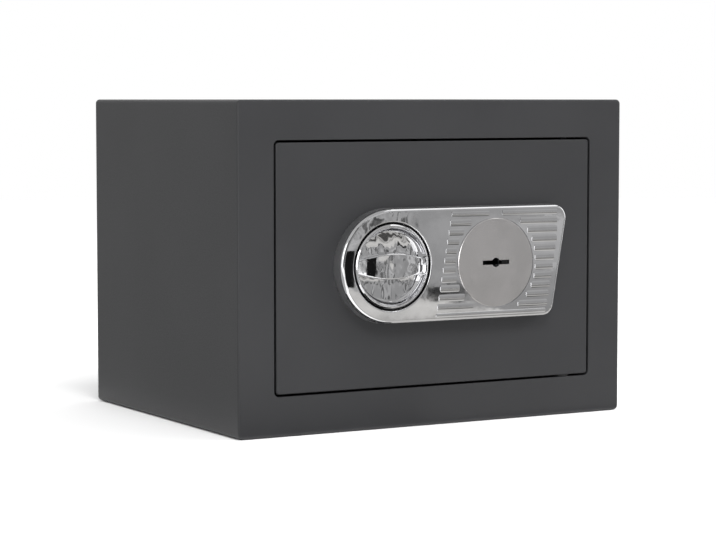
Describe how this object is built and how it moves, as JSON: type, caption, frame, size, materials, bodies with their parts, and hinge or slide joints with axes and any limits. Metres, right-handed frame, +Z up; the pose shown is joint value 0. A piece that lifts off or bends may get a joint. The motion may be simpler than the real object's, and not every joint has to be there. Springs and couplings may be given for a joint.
{
  "type": "security safe",
  "caption": "Small steel security safe with a flush hinged door, a recessed turning knob that draws the locking bolts, and a double-bit key lock in a ribbed chrome plate.",
  "frame": {"origin": "middle of the cabinet's underside, on the surface that it stands on", "axes": "+X to the right seen from the front, +Y to the back, +Z up; the door faces -Y"},
  "size_m": [0.35, 0.2772, 0.255],
  "materials": {
    "coated_cabinet": "fine matt anthracite powder coat",
    "coated_door": "fine matt anthracite powder coat",
    "chrome_plate": "polished chrome plating on die-cast zinc",
    "chrome_knob": "polished chrome plating on die-cast zinc",
    "satin_disc": "satin nickel-plated steel, fine grain",
    "plated_steel": "bright zinc-plated steel",
    "bright_steel": "turned and polished steel",
    "blackened_steel": "blackened steel, lightly oiled",
    "black_nylon": "plain black nylon",
    "brass_parts": "plain machined brass"
  },
  "bodies": {
    "cabinet": {"cabinet_shell": "coated_cabinet", "back_panel": "coated_cabinet", "front_frame": "coated_cabinet", "upper_hinge_bracket": "coated_cabinet", "lower_hinge_bracket": "coated_cabinet", "upper_hinge_pin": "blackened_steel", "lower_hinge_pin": "blackened_steel", "hinge_thrust_washer": "black_nylon", "door_stop_lugs": "coated_cabinet"},
    "door": {"door_leaf": "coated_door", "upper_hinge_knuckle": "coated_door", "lower_hinge_knuckle": "coated_door", "bolt_guide_rail": "coated_door", "door_inner_cover": "coated_door", "cover_screws": "plated_steel", "escutcheon": "chrome_plate", "escutcheon_screws": "plated_steel", "key_disc": "satin_disc", "knob_bush": "brass_parts", "carriage_guide_studs": "plated_steel", "guide_washers": "plated_steel", "guide_clips": "plated_steel", "lock_case": "plated_steel", "lock_cover": "plated_steel", "lock_screws": "plated_steel", "lever_post": "plated_steel", "lever_springs": "bright_steel"},
    "knob": {"turn_knob": "chrome_knob", "knob_spindle": "plated_steel", "cam_plate": "plated_steel", "cam_cross_pin": "plated_steel", "crank_pin": "plated_steel", "spindle_clip": "plated_steel"},
    "carriage": {"bolt_carriage": "plated_steel", "upper_locking_bolt": "bright_steel", "lower_locking_bolt": "bright_steel", "locking_bolt_screws": "plated_steel"},
    "lock_bolt": {"lock_bolt": "blackened_steel", "lock_bolt_stump": "plated_steel"},
    "levers": {"lock_levers": "blackened_steel"}
  },
  "joints": [
    {"name": "door_swing", "type": "hinge", "parent": "cabinet", "child": "door", "pos_m": [0.1228, -0.1245, 0.1275], "axis": [0, 0, 1], "range_deg": [0, 95]},
    {"name": "knob_turn", "type": "hinge", "parent": "door", "child": "knob", "pos_m": [-0.0475, -0.1325, 0.1269], "axis": [0, 1, 0], "range_deg": [0, 60]},
    {"name": "carriage_slide", "type": "slide", "parent": "door", "child": "carriage", "axis": [-1, 0, 0], "range_m": [0, 0.018]},
    {"name": "lock_bolt_slide", "type": "slide", "parent": "door", "child": "lock_bolt", "axis": [0, 0, 1], "range_m": [0, 0.008]},
    {"name": "lever_lift", "type": "hinge", "parent": "door", "child": "levers", "pos_m": [0.0246, -0.1186, 0.1029], "axis": [0, -1, 0], "range_deg": [0, 3], "stiffness_Nm_per_rad": 0.1, "springref_deg": -2.86, "deforming": ["lever_springs"]}
  ],
  "couplings": [
    {"joint": "carriage_slide", "follows": "knob_turn", "m_per_rad": 0.017189}
  ]
}
